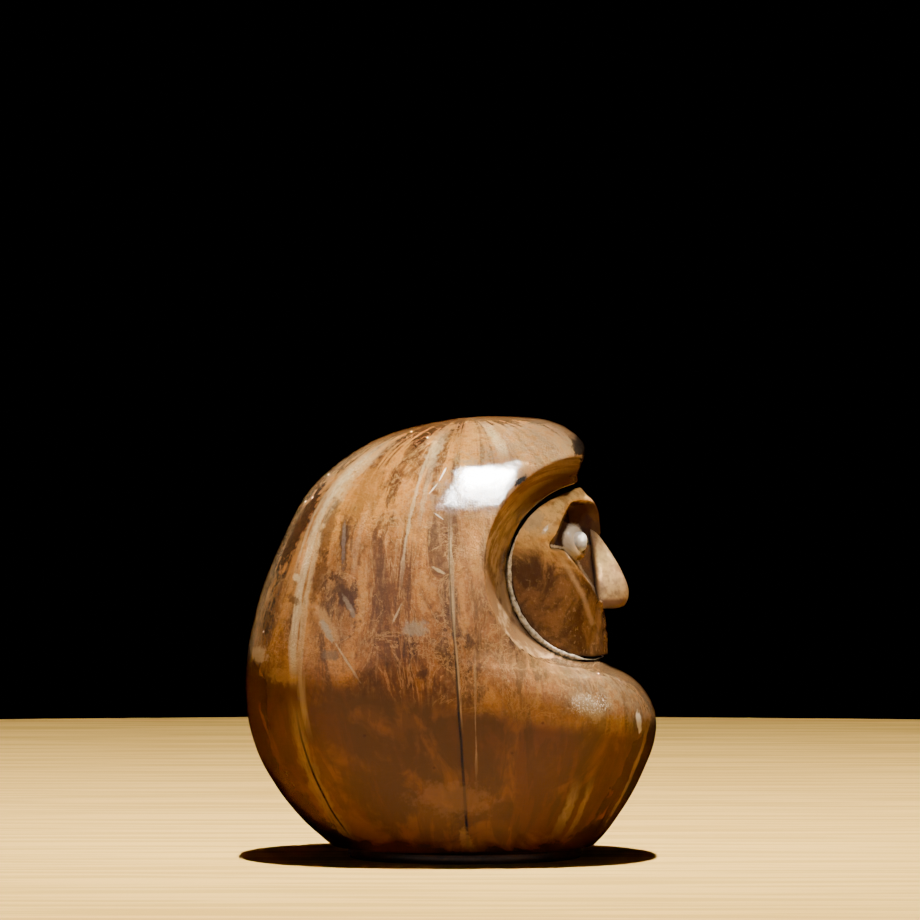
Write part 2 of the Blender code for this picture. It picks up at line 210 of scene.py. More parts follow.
def carve(obj, tools, voxel, passes=3):
    """Cut obj with (tool, operation) pairs, give it an even fine skin and soften its edges a little."""
    for tool, operation in tools:
        cut = obj.modifiers.new("cut", "BOOLEAN")
        cut.object = tool
        cut.operation = operation
        cut.solver = "EXACT"
    remesh = obj.modifiers.new("skin", "REMESH")
    remesh.mode = "VOXEL"
    remesh.voxel_size = voxel * MM
    soften = obj.modifiers.new("soften", "SMOOTH")
    soften.factor = 0.5
    soften.iterations = passes
    settle(obj)
    for tool, _ in tools:
        bpy.data.objects.remove(tool, do_unlink=True)
    return obj


def coordinates(obj):
    points = np.empty(len(obj.data.vertices) * 3)
    obj.data.vertices.foreach_get("co", points)
    return points.reshape(-1, 3)


def push_out(obj, amount):
    """Move each point along its normal by amount(side, forward, up) millimetres."""
    points = coordinates(obj)
    normals = np.empty(len(points) * 3)
    obj.data.vertices.foreach_get("normal", normals)
    side, forward, up = points[:, 0] / MM, -points[:, 1] / MM, points[:, 2] / MM
    points += normals.reshape(-1, 3) * (amount(side, forward, up) * MM)[:, None]
    obj.data.vertices.foreach_set("co", points.ravel())
    obj.data.update()
    return obj


def fractal(side, forward, up, size, octaves=3, stretch=(1.0, 1.0, 1.0)):
    """Noise between about -1 and 1 whose largest bumps are about size millimetres across."""
    a, b, c = (1.0 / (size * s) for s in stretch)
    return np.array([
        noise.fractal((x * a, y * b, z * c), 0.9, 2.1, octaves) for x, y, z in zip(side, forward, up)
    ])


# ---- materials: a short way to write node maths -----------------------------------------------------------
class Field:
    """A value in a material's node tree; arithmetic on it adds nodes."""

    def __init__(self, paint, socket):
        self.paint, self.socket = paint, socket

    def math(self, operation, *others):
        return self.paint.node("ShaderNodeMath", [self, *others], operation=operation)

    def __add__(self, other):
        return self.math("ADD", other)

    def __sub__(self, other):
        return self.math("SUBTRACT", other)

    def __mul__(self, other):
        return self.math("MULTIPLY", other)

    def __truediv__(self, other):
        return self.math("DIVIDE", other)

    __radd__ = __add__
    __rmul__ = __mul__

    def __neg__(self):
        return self * -1.0

    def size(self):
        return self.math("ABSOLUTE")

    def step(self, low, high):
        """Smoothly from 0 at low to 1 at high; low may be the larger."""
        values = [self, low, high, 0.0, 1.0]
        return self.paint.node("ShaderNodeMapRange", values, interpolation_type="SMOOTHSTEP")


def hypotenuse(a, b):
    return (a * a + b * b).math("SQRT")


def spot_distance(paint, place, size):
    """Distance in the side view from a place (forward, up), in units of size (forward, up)."""
    return hypotenuse((paint.forward - place[0]) / size[0], (paint.up - place[1]) / size[1])


class Paint:
    """A material with a Principled shader, and helpers that add nodes to it."""

    def __init__(self, name, roughness=0.4, **sockets):
        self.material = bpy.data.materials.new(name)
        self.material.use_nodes = True
        self.tree = self.material.node_tree
        self.shader = self.tree.nodes["Principled BSDF"]
        self.shader.inputs["Roughness"].default_value = roughness
        for label, value in sockets.items():
            self.shader.inputs[label.replace("_", " ")].default_value = value
        place = self.tree.nodes.new("ShaderNodeTexCoord")
        split = self.tree.nodes.new("ShaderNodeSeparateXYZ")
        self.tree.links.new(place.outputs["Object"], split.inputs[0])
        x, y, z = (Field(self, socket) for socket in split.outputs)
        self.side, self.forward, self.up = x * MM_PER_METRE, y * -MM_PER_METRE, z * MM_PER_METRE

    def node(self, kind, values=(), output=0, **settings):
        made = self.tree.nodes.new(kind)
        for label, value in settings.items():
            setattr(made, label, value)
        for socket, value in zip(made.inputs, values):
            self.plug(value, socket)
        return Field(self, made.outputs[output])

    def plug(self, value, socket):
        if isinstance(value, Field):
            self.tree.links.new(value.socket, socket)
        elif value is not None:
            socket.default_value = (*value, 1.0) if isinstance(value, tuple) and len(value) == 3 else value

    def vector(self, x, y, z):
        return self.node("ShaderNodeCombineXYZ", [x, y, z])

    def noise(self, scale, where=None, detail=3.0, roughness=0.55, distortion=0.0, kind="FBM"):
        """Noise from 0 to 1; scale is bumps per millimetre."""
        where = where or self.vector(self.side, self.forward, self.up)
        made = self.tree.nodes.new("ShaderNodeTexNoise")
        made.noise_type = kind
        for label, value in (
            ("Vector", where), ("Scale", scale), ("Detail", detail), ("Roughness", roughness),
            ("Distortion", distortion),
        ):
            self.plug(value, made.inputs[label])
        return Field(self, made.outputs["Fac"])

    def spots(self, scale, where=None):
        """Distance to the nearest of scattered points, and that point's own random number."""
        where = where or self.vector(self.side, self.forward, self.up)
        made = self.tree.nodes.new("ShaderNodeTexVoronoi")
        self.plug(where, made.inputs["Vector"])
        self.plug(scale, made.inputs["Scale"])
        split = self.tree.nodes.new("ShaderNodeSeparateXYZ")
        self.tree.links.new(made.outputs["Color"], split.inputs[0])
        return Field(self, made.outputs["Distance"]), Field(self, split.outputs[0])

    def mix(self, below, above, share):
        """Colour above laid over colour below."""
        made = self.tree.nodes.new("ShaderNodeMix")
        made.data_type = "RGBA"
        self.plug(share, made.inputs[0])
        self.plug(below, made.inputs[6])
        self.plug(above, made.inputs[7])
        return Field(self, made.outputs[2])

    def finish(self, colour=None, roughness=None, bump=None, bump_depth=0.1, coat_depth=None):
        """Plug the fields into the shader; bump is a height from 0 to 1, bump_depth millimetres deep."""
        if colour is not None:
            self.plug(colour, self.shader.inputs["Base Color"])
        if roughness is not None:
            self.plug(roughness, self.shader.inputs["Roughness"])
        if bump is not None:
            for label, depth in (("Normal", bump_depth), ("Coat Normal", coat_depth or bump_depth)):
                made = self.tree.nodes.new("ShaderNodeBump")
                made.inputs["Strength"].default_value = 1.0
                made.inputs["Distance"].default_value = depth * MM
                self.plug(bump, made.inputs["Height"])
                self.tree.links.new(made.outputs[0], self.shader.inputs[label])
        return self.material


# ---- the nut's skin ---------------------------------------------------------------------------------------
GOLD = (0.430, 0.190, 0.038)
ORANGE = (0.235, 0.088, 0.018)
BROWN = (0.078, 0.028, 0.009)
RED_BROWN = (0.042, 0.015, 0.007)
OLIVE = (0.066, 0.031, 0.011)
TAN = (0.340, 0.185, 0.068)
PALE = (0.400, 0.285, 0.155)
GREY = (0.224, 0.173, 0.118)
BLACK = (0.010, 0.008, 0.006)
PAINTED_GLINT = (0.85, 0.72, 0.55)
AMBER = (0.33, 0.135, 0.022)
ROSE = (0.20, 0.105, 0.060)
SLATE = (0.12, 0.085, 0.072)
DUSK = (0.11, 0.075, 0.045)
CROWN_GOLD = (0.54, 0.225, 0.034)
CRACKLE = (0.50, 0.28, 0.10)
BACK_SHADE = (0.090, 0.042, 0.017)
FRONT_SHEEN = (0.42, 0.24, 0.10)
LOWER_BROWN = (0.092, 0.036, 0.013)
LOWER_ORANGE = (0.145, 0.060, 0.018)
WORN = (0.23, 0.165, 0.095)
UPPER_DARK = (0.100, 0.034, 0.008)
BOTTOM_SHADE = (0.030, 0.008, 0.004)
CUT_LIGHT = (0.68, 0.42, 0.20)
CUT_DARK = (0.28, 0.145, 0.058)
CUT_TOP = (0.10, 0.042, 0.014)
CUT_SHADE = (0.050, 0.021, 0.008)

POLE_FORWARD = 1.5  # the nut's own axis stands here, and its veins run from pole to pole round it
MEAN_RADIUS = 17.0
BELLY = 16.0  # below this height the skin is painted darker and smooth, above it lighter and speckled with more bump: painted light and shade along the overhead lamp's terminator
BELLY_LEAN = 0.17  # how much lower that border lies for each millimetre forwards
CROWN_HEIGHT = 45.0

# Pale veins, one of them a painted reflection: longitude at the ground and at the crown (degrees, 0 is the
# doll's right side, + is forwards), half width, lowest and highest point, strength.
VEINS = (
    (1.5, -7.5, 0.22, 13.0, 36.0, 0.75),
    (4.5, 0.5, 0.14, 8.0, 23.0, 0.4),
    (9.5, 5.0, 0.14, 25.0, 36.0, 0.3),
    (-47.0, -56.0, 0.70, 17.0, 44.0, 0.95),
    (-45.5, -52.0, 0.45, 12.0, 43.0, 0.55),
    (-51.5, -60.5, 0.30, 28.0, 41.0, 0.5),
    (-51.0, -50.0, 1.00, 0.5, 18.0, 0.28),
    (-50.0, -54.0, 1.90, 34.0, 43.5, 0.75),
    (-21.0, -19.0, 0.20, 27.0, 44.6, 0.7),
    (-18.5, -17.0, 0.75, 38.0, 44.6, 0.9),
    (-17.5, -15.5, 0.30, 33.0, 41.0, 0.5),
    (18.0, 18.0, 0.60, 39.5, 45.5, 1.0),
    (-33.0, -36.0, 0.35, 27.0, 38.0, 0.25),
    (38.0, 40.0, 0.6, 1.5, 9.5, 0.35),
    (44.0, 44.0, 0.4, 1.0, 10.0, 0.30),
    (66.0, 68.0, 0.6, 2.0, 14.0, 0.6),
    # this wide one is a painted reflection along the back edge seen from the camera, not a vein
    (-79.0, -81.0, 4.6, 19.0, 44.0, 0.50),
    (-96.0, -92.0, 0.7, 4.0, 38.0, 0.5),
    (-118.0, -112.0, 0.8, 12.0, 44.0, 0.7),
    (-150.0, -144.0, 0.9, 2.0, 41.0, 0.8),
    (172.0, 165.0, 0.6, 6.0, 36.0, 0.6),
    (138.0, 141.0, 0.9, 14.0, 44.0, 0.8),
    (112.0, 116.0, 0.6, 2.0, 12.0, 0.6),
)
# Fine cracks: longitude at the ground and at the crown, lowest and highest point.
CRACKS = (
    (1.0, -8.0, 0.8, 37.0),
    (-49.5, -52.0, 2.0, 17.0),
    (60.0, 62.0, 2.0, 10.0),
    (-147.0, -146.0, 1.0, 24.0),
    (139.0, 141.0, 3.0, 20.0),
)
# Stains and scars on the doll's right side, with painted highlights and painted shade among them: forward,
# up, half length, half width, tilt of the length above the horizontal in degrees, colour, strength.
MARKS = (
    (-10.7, 27.2, 2.7, 0.75, -61.0, RED_BROWN, 0.85),
    (-10.1, 26.0, 1.5, 0.28, -62.0, GREY, 0.55),
    (-10.7, 32.8, 3.3, 0.55, 88.0, RED_BROWN, 0.75),
    (-10.7, 32.4, 2.7, 0.22, 88.0, SLATE, 0.7),
    (-12.3, 33.6, 3.4, 0.75, 76.0, RED_BROWN, 0.7),
    (-15.4, 33.4, 6.2, 0.65, 62.5, RED_BROWN, 0.9),
    (-13.2, 28.6, 2.6, 0.8, 70.0, RED_BROWN, 0.55),
    (-12.4, 24.3, 2.2, 0.80, -60.0, TAN, 0.7),
    (-12.4, 23.7, 1.4, 0.42, -62.0, GREY, 0.9),
    (-10.2, 20.4, 2.7, 0.14, -57.0, PALE, 0.75),
    (-8.8, 37.2, 3.4, 2.2, 66.0, AMBER, 0.55),
    (-3.6, 23.9, 1.5, 0.95, 0.0, GREY, 0.7),
    (-1.3, 29.7, 0.8, 0.18, -28.0, PALE, 0.9),
    (-5.3, 25.5, 1.1, 0.13, 65.0, PALE, 0.7),
    (-15.5, 28.8, 0.5, 0.40, 70.0, PALE, 0.9),
    (-15.8, 26.6, 0.8, 0.50, -50.0, RED_BROWN, 0.7),
    (-11.9, 21.2, 1.0, 0.6, 0.0, DUSK, 0.7),
    (-2.8, 19.4, 0.8, 0.6, 20.0, RED_BROWN, 0.7),
    (1.9, 22.6, 0.5, 0.9, 10.0, RED_BROWN, 0.7),
    (-9.0, 18.2, 1.7, 1.3, 20.0, RED_BROWN, 0.4),
    (6.3, 23.4, 0.8, 2.4, 10.0, RED_BROWN, 0.6),
    (-16.8, 19.0, 1.7, 1.0, 0.0, TAN, 0.35),
    (-19.4, 21.0, 0.9, 1.1, 70.0, PALE, 0.6),
    (0.3, 6.9, 4.6, 1.9, -6.0, ROSE, 0.3),
    # painted shade: two black patches along the bottom, where the doll meets the table
    (-12.4, 2.6, 2.6, 1.5, -38.0, BLACK, 0.85),
    (13.6, 2.6, 2.6, 0.9, 35.0, BLACK, 0.7),
    (1.6, 2.0, 0.7, 1.9, 8.0, TAN, 0.45),
    (13.6, 16.0, 2.3, 1.1, -35.0, PALE, 0.7),
    # painted highlight: a white streak where light catches a dent in the chest
    (18.9, 14.3, 0.32, 1.2, 8.0, PAINTED_GLINT, 1.0),
    (13.2, 41.8, 1.8, 1.0, -68.0, BLACK, 0.95),
    (7.0, 38.6, 0.9, 0.35, 40.0, BLACK, 1.0),
    # painted highlights on fine scratches that catch the light beside the softbox reflection
    (-0.8, 39.2, 0.8, 0.09, 62.0, PAINTED_GLINT, 1.0),
    (-1.7, 37.8, 0.7, 0.08, 50.0, PAINTED_GLINT, 0.9),
    (-0.4, 36.3, 0.5, 0.10, 20.0, PAINTED_GLINT, 0.9),
    (-1.2, 35.0, 0.6, 0.08, -35.0, PAINTED_GLINT, 0.8),
)


def meridian_distance(paint, longitude, radius, low, high):
    """Distance in millimetres from a vein whose longitude changes evenly from the ground to the crown."""
    slope = math.radians(high - low) / CROWN_HEIGHT
    return (longitude - math.radians(low) - paint.up * slope) * radius


def skin_fields(paint):
    """The nut's own longitude, radius from its axis, and a vector stretched along its meridians."""
    away = paint.forward - POLE_FORWARD
    radius = hypotenuse(away, paint.side)
    longitude = away.math("ARCTAN2", -paint.side)
    turn = paint.side / radius * MEAN_RADIUS, away / radius * MEAN_RADIUS
    return longitude, radius, paint.vector(*turn, paint.up * 0.3)


def stains_shade_and_glints(paint, colour, marks, rag):
    """Lay the marks over the colour; rag is a noise that makes their edges ragged."""
    near = paint.side.step(1.5, -0.5)
    for forward, up, length, width, tilt, tint, strength in marks:
        c, s = math.cos(math.radians(tilt)), math.sin(math.radians(tilt))
        away, rise = paint.forward - forward, paint.up - up
        along = (away * c + rise * s) / length
        across = (rise * c - away * s) / width
        reach = hypotenuse(along, across) + (rag - 0.5) * 2.2
        colour = paint.mix(colour, tint, reach.step(1.1, 0.55) * near * strength)
    return colour


def upper_skin(paint, mottle, cloud, flame, speck, fine):
    """Skin above the border, rough and painted lighter as if lit from above: gold and orange patches,
    red-brown flames, tan and dark specks.
    """
    side, forward, up = paint.side, paint.forward, paint.up
    streak = paint.noise(2.2, paint.vector(side, forward, up * 0.12), detail=5.0, roughness=0.6)
    patches = mottle.step(0.42, 0.56)
    colour = paint.mix(BROWN, ORANGE, mottle.step(0.38, 0.54))
    colour = paint.mix(colour, GOLD, mottle.step(0.50, 0.60) * 0.75)
    crown = (up - forward * 0.35 + (cloud - 0.5) * 18.0).step(31.0, 40.0) * up.step(48.0, 40.0)
    crown = crown * mottle.step(0.40, 0.52) * (up + forward * 0.5).step(50.0, 38.0)
    colour = paint.mix(colour, CROWN_GOLD, crown * 0.9)
    colour = paint.mix(colour, RED_BROWN, flame.step(0.48, 0.58) * cloud.step(0.42, 0.54) * 0.9)
    colour = paint.mix(colour, TAN, streak.step(0.52, 0.62) * 0.28)
    # the tan specks are partly painted glints of light on the rough skin
    colour = paint.mix(colour, TAN, speck.step(0.53, 0.66) * (patches * 0.45 + 0.15))
    colour = paint.mix(colour, TAN, fine.step(0.54, 0.62) * (patches * 0.35 + 0.2))
    colour = paint.mix(colour, RED_BROWN, speck.step(0.49, 0.36) * 0.4)
    colour = paint.mix(colour, RED_BROWN, fine.step(0.45, 0.39) * 0.4)
    squiggle = (cloud - 0.5).size().step(0.010, 0.002) + (mottle - 0.47).size().step(0.010, 0.002)
    colour = paint.mix(colour, CRACKLE, squiggle.math("MINIMUM", 1.0) * 0.40)
    # painted shade towards the doll's back, and painted sheen beside the face
    colour = paint.mix(colour, BACK_SHADE, (forward + (mottle - 0.5) * 20.0).step(-7.0, -15.0) * 0.42)
    return paint.mix(colour, FRONT_SHEEN, (forward + (speck - 0.5) * 16.0).step(-4.0, 6.0) * 0.22)


def lower_skin(paint, mottle, cloud, flame):
    """Skin below the border, smooth and painted darker as if in shade: soft brown, olive and orange patches.
    """
    colour = paint.mix(OLIVE, LOWER_BROWN, mottle.step(0.42, 0.58))
    colour = paint.mix(colour, LOWER_ORANGE, cloud.step(0.46, 0.62) * 0.75)
    return paint.mix(colour, OLIVE, flame.step(0.50, 0.57) * 0.6)


def worn_share(paint, above, cloud, speck):
    """How worn the skin is: over the hood towards its tip, and across the chest."""
    forward, up = paint.forward, paint.up
    hood = (forward - up * 1.33 + 52.0 + (cloud - 0.5) * 12.0 + (speck - 0.5) * 10.0).step(-0.8, 2.5)
    hood = hood * up.step(33.0, 38.5) * (speck.step(0.42, 0.54) * 0.5 + 0.15)
    chest = (forward - 8.0).step(0.0, 6.0) * above.step(15.5, 18.5) * up.step(24.0, 20.0)
    chest = chest * (speck.step(0.46, 0.56) * 0.45 + 0.05)
    return (hood + chest).math("MINIMUM", 1.0)


def hood_band(paint, cloud, speck):
    """The cut inside the hood: its share, colour and scrapes, and the distance out from its rim."""
    out_forward, out_up = paint.forward - FACE_CENTRE[0], paint.up - FACE_CENTRE[1]
    out = hypotenuse(out_forward, out_up)
    chest_forward, chest_up = math.cos(CHEST_ANGLE), math.sin(CHEST_ANGLE)
    chin = (out_forward * chest_forward + out_up * chest_up) / out
    rim = out_up / out * RIM_RISE + RIM_RADIUS
    rim = rim - chin.step(*CHEST_BLEND) * (RIM_RADIUS - CHIN_RIM_RADIUS)
    inside = (rim - out + (speck - 0.5) * 0.7).step(-0.05, 0.15)
    round_rim = paint.vector(out_forward / out * 2.0, out_up / out * 2.0, out * 1.8 + paint.side * 0.3)
    scrape = paint.noise(1.1, round_rim, detail=5.0, roughness=0.65)
    colour = paint.mix(CUT_DARK, CUT_LIGHT, scrape.step(0.43, 0.57))
    colour = paint.mix(colour, CUT_TOP, (out_up + (cloud - 0.5) * 4.0).step(4.0, 8.5) * 0.8)
    # painted shade: darker towards the face, deep in the cut
    colour = paint.mix(colour, CUT_SHADE, (rim - out).step(0.5, 2.0) * (out_up.step(0.0, 7.0) * 0.4 + 0.5))
    return inside, colour, scrape, out - rim


def nut_skin():
    paint = Paint(
        "nut_skin", roughness=0.34, Specular_IOR_Level=0.0, Coat_Weight=1.0, Coat_Roughness=0.04,
        Coat_IOR=1.5,
    )
    longitude, radius, grain = skin_fields(paint)
    side, forward, up = paint.side, paint.forward, paint.up
    above = up + forward * BELLY_LEAN
    # painted light and shade: the upper zone is coloured lighter as if lit from above, the lower darker as if
    # in shade
    lit_rough_zone = above.step(BELLY - 1.0, BELLY + 2.0)

    mottle = paint.noise(0.24, grain, detail=9.0, roughness=0.64, distortion=1.0)
    cloud = paint.noise(0.15, detail=8.0, roughness=0.62, distortion=1.0)
    flame = paint.noise(0.50, grain, detail=5.0, roughness=0.62, distortion=0.5)
    speck = paint.noise(1.3, detail=8.0, roughness=0.68)
    fine = paint.noise(4.5, detail=6.0, roughness=0.75)
    upper = upper_skin(paint, mottle, cloud, flame, speck, fine)
    colour = paint.mix(lower_skin(paint, mottle, cloud, flame), upper, lit_rough_zone)
    colour = paint.mix(colour, WORN, worn_share(paint, above, cloud, speck))
    # darker towards the top
    colour = paint.mix(colour, UPPER_DARK, up.step(29.0, 37.0) * 0.33)

    wobble = (paint.noise(0.12, grain, detail=3.0) - 0.5) * 0.9
    fibre = paint.noise(1.6, paint.vector(side, forward, up * 0.12), detail=4.0)
    veins = 0.0
    for low, high, half, bottom, top, strength in VEINS:
        away = (meridian_distance(paint, longitude, radius, low, high) + wobble).size()
        line = (away + (fibre - 0.5) * (half * 2.0 + 0.3)).step(half * 1.25, half * 0.45)
        ends = up.step(bottom, bottom + 4.0) * up.step(top, top - 4.0)
        veins = (line * ends * strength).math("MAXIMUM", veins)
    colour = paint.mix(colour, PALE, veins * (fibre.step(0.42, 0.56) * 0.35 + 0.6))

    cracks = 0.0
    width = up.step(24.0, 14.0) * 0.07 + 0.06
    for low, high, bottom, top in CRACKS:
        away = (meridian_distance(paint, longitude, radius, low, high) + wobble).size()
        ends = up.step(bottom, bottom + 2.0) * up.step(top, top - 6.0)
        cracks = ((away / width).step(1.6, 0.6) * ends).math("MAXIMUM", cracks)
    colour = paint.mix(colour, BLACK, cracks * (up.step(25.0, 18.0) * 0.35 + 0.5))

    colour = stains_shade_and_glints(paint, colour, MARKS, speck)

    # painted glints on chipped skin on the right of the chest
    chip_glints = spot_distance(paint, (13.8, 16.2), (2.2, 1.2)).step(1.2, 0.5)
    chip_glints = chip_glints * fine.step(0.53, 0.58) * side.step(1.5, -0.5)
    colour = paint.mix(colour, PAINTED_GLINT, chip_glints * 0.9)

    # painted shade along the lower edge, with the painted reflection of the table's shadow
    colour = paint.mix(colour, BOTTOM_SHADE, (up + (cloud - 0.5) * 7.0).step(3.4, 1.4) * 0.95)

    inside, band, scrape, past_rim = hood_band(paint, cloud, speck)
    colour = paint.mix(colour, band, inside)

    # small pits
    spot, chance = paint.spots(0.42)
    pits = spot.step(0.10, 0.03) * chance.step(0.55, 0.6)
    colour = paint.mix(colour, RED_BROWN, pits * 0.6)

    height = mottle * 0.25 + speck * 0.45 + fine * 0.16 + scrape * 0.12 * past_rim.step(5.0, 1.0)
    height = height * (lit_rough_zone * 0.8 + 0.2) - cracks * 0.12 - pits * 0.10 + veins * 0.02
    rough = speck * 0.2 + veins * 0.1 + 0.30
    return paint.finish(colour, rough, height, bump_depth=0.75, coat_depth=0.03)


# ---- the face and the small pieces ------------------------------------------------------------------------
FACE_BROWN = (0.125, 0.055, 0.017)
FACE_DARK = (0.050, 0.021, 0.007)
BROW_LIT_GOLD = (0.74, 0.420, 0.135)
BROW_BROWN = (0.28, 0.115, 0.030)
SPECK_DARK = (0.050, 0.020, 0.007)
SPECK_LIGHT = (0.30, 0.17, 0.06)
HOLLOW_GRIME_AND_SHADE = (0.110, 0.046, 0.012)
SOCKET_DARK = (0.030, 0.011, 0.005)
LID_PALE = (0.62, 0.50, 0.36)
LID_EDGE_LIT = (0.62, 0.47, 0.28)
FOLD_HIGHLIGHT = (0.40, 0.245, 0.105)
NOSE_UNDERSIDE_SHADE = (0.085, 0.035, 0.013)
NOSE_ROOT_SHADE = (0.13, 0.07, 0.03)


def line_distance(paint, points):
    """Distance in the side view from a line through the points."""
    nearest = 99.0
    for (f0, u0), (f1, u1) in zip(points, points[1:]):
        run, rise = f1 - f0, u1 - u0
        away, above = paint.forward - f0, paint.up - u0
        share = (away * run + above * rise) / (run * run + rise * rise)
        share = share.math("MAXIMUM", 0.0).math("MINIMUM", 1.0)
        gap_forward, gap_up = away - share * run, above - share * rise
        nearest = hypotenuse(gap_forward, gap_up).math("MINIMUM", nearest)
    return nearest


def hollow_depth(paint):
    """How deep the surface lies under the uncut column of the face, in millimetres."""
    front = (paint.up - CHIN_HEIGHT) * -FACE_LEAN + (CHIN_FRONT - FACE_BACK)
    rise = ((paint.up - FOREHEAD_START) / FOREHEAD_SPAN).math("MAXIMUM", 0.0)
    rounding = rise.math("POWER", FOREHEAD_POWER) * FOREHEAD_SETBACK
    share = hypotenuse((paint.forward - FACE_BACK) / (front - rounding), paint.side / FACE_HALF_WIDTH)
    rise = ((paint.up - TEMPLE_START) / TEMPLE_SPAN).math("MAXIMUM", 0.0)
    slope = rise.math("POWER", TEMPLE_POWER) * TEMPLE_SETBACK * paint.side.size().step(3.0, 6.0)
    return share * -FACE_DEPTH + FACE_DEPTH - slope


def carved_face():
    paint = Paint("carved_face", roughness=0.36, Specular_IOR_Level=0.0, Coat_Weight=0.3, Coat_Roughness=0.10)
    cloud = paint.noise(0.28, detail=7.0, roughness=0.62, distortion=0.8)
    speck = paint.noise(2.2, detail=5.0, roughness=0.7)
    patch = paint.noise(0.9, detail=6.0, roughness=0.65)
    colour = paint.mix(FACE_DARK, FACE_BROWN, cloud.step(0.38, 0.62))
    # the upper face painted gold: partly its own colour, partly painted light on the brow from above
    brow = (paint.up + (cloud - 0.5) * 9.0).step(28.8, 34.4)
    colour = paint.mix(colour, BROW_LIT_GOLD, brow * 0.9)
    colour = paint.mix(colour, BROW_BROWN, patch.step(0.47, 0.60) * brow * 0.6)
    colour = paint.mix(colour, SPECK_DARK, speck.step(0.46, 0.36) * 0.35)
    colour = paint.mix(colour, SPECK_LIGHT, speck.step(0.55, 0.68) * 0.3)

    # pale chipped edge at the temple
    chip = spot_distance(paint, (8.1, 34.6), (1.0, 1.0)) + (speck - 0.5) * 2.0
    colour = paint.mix(colour, PALE, chip.step(1.5, 0.8) * 0.7)

    # brown grime and painted shade in the carved hollows
    deep = (hollow_depth(paint) + (speck - 0.5) * 0.6).step(0.35, 0.95)
    colour = paint.mix(colour, HOLLOW_GRIME_AND_SHADE, deep * 0.9)

    # the shaded socket above the eye, and the pale eyelids round it
    edge = (paint.forward - 10.2) * 0.92 - (paint.up - 31.8) * 0.39 + (speck - 0.5) * 0.4
    socket = edge.step(-0.10, 0.20) * (paint.up + (speck - 0.5) * 0.8).step(36.5, 36.0)
    colour = paint.mix(colour, SOCKET_DARK, socket * paint.up.step(31.7, 31.95) * 0.96)
    eyelid = spot_distance(paint, (12.4, 32.3), (1.0, 1.0 / 0.65)) + (speck - 0.5) * 0.5
    colour = paint.mix(colour, LID_PALE, eyelid.step(1.25, 0.9) * 0.9)

    # the lower eyelid's edge, worn and painted pale where light catches it, and a painted highlight along a
    # softer fold below it
    lid = line_distance(paint, LID_LINE) + (speck - 0.5) * 0.5
    facing = paint.side.size().step(10.5, 9.9)
    lit = paint.up.step(29.0, 31.3) * 0.6 + 0.25
    colour = paint.mix(colour, LID_EDGE_LIT, lid.step(0.20, 0.05) * facing * lit)
    fold = line_distance(paint, FOLD_LINE) + (speck - 0.5) * 0.5
    colour = paint.mix(colour, FOLD_HIGHLIGHT, fold.step(0.40, 0.05) * 0.35)

    # painted shade, near black, in the gap where the face meets its seat, on its lower half
    out_up = paint.up - FACE_CENTRE[1]
    out = spot_distance(paint, FACE_CENTRE, (1.0, 1.0)) + (speck - 0.5) * 0.6
    seam = out.step(SEAT_RADIUS - 0.75, SEAT_RADIUS - 0.3) * out_up.step(1.5, -1.0)
    colour = paint.mix(colour, BLACK, seam)
    rough = speck * 0.15 + 0.26
    return paint.finish(colour, rough, cloud * 0.3 + speck * 0.4, bump_depth=0.3, coat_depth=0.04)


def plain_cut(name, light, dark, roughness, scale=0.5, coat=0.3, shine=0.2, shaded_below=None):
    """A cut, uncoloured piece: two near colours in soft clouds with fine grain.

    With shaded_below, painted shade covers it below that height, under the nose, and round its root where it
    meets the face.
    """
    paint = Paint(name, roughness=roughness, Specular_IOR_Level=0.1, Coat_Weight=coat, Coat_Roughness=shine)
    cloud = paint.noise(scale, detail=4.0, distortion=0.5)
    speck = paint.noise(3.0, detail=3.0)
    colour = paint.mix(dark, light, (cloud * 0.7 + speck * 0.3).step(0.35, 0.6))
    if shaded_below:
        # painted shade under the nose and round its root in the face
        under = paint.up.step(shaded_below + 0.3, shaded_below - 0.2)
        colour = paint.mix(colour, NOSE_UNDERSIDE_SHADE, under * 0.9)
        root = paint.forward + (paint.up - CHIN_HEIGHT) * FACE_LEAN - CHIN_FRONT + (speck - 0.5) * 0.5
        colour = paint.mix(colour, NOSE_ROOT_SHADE, root.step(-0.1, -0.5) * 0.85)
    return paint.finish(colour, speck * 0.12 + (roughness - 0.06), speck, bump_depth=0.02)


# ---- pieces -----------------------------------------------------------------------------------------------
def ship(obj, node, material):
    """Give a finished piece its material and its place in the frame."""
    obj.data.materials.clear()
    obj.data.materials.append(material)
    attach(obj, "root")
    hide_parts(node)
    return obj


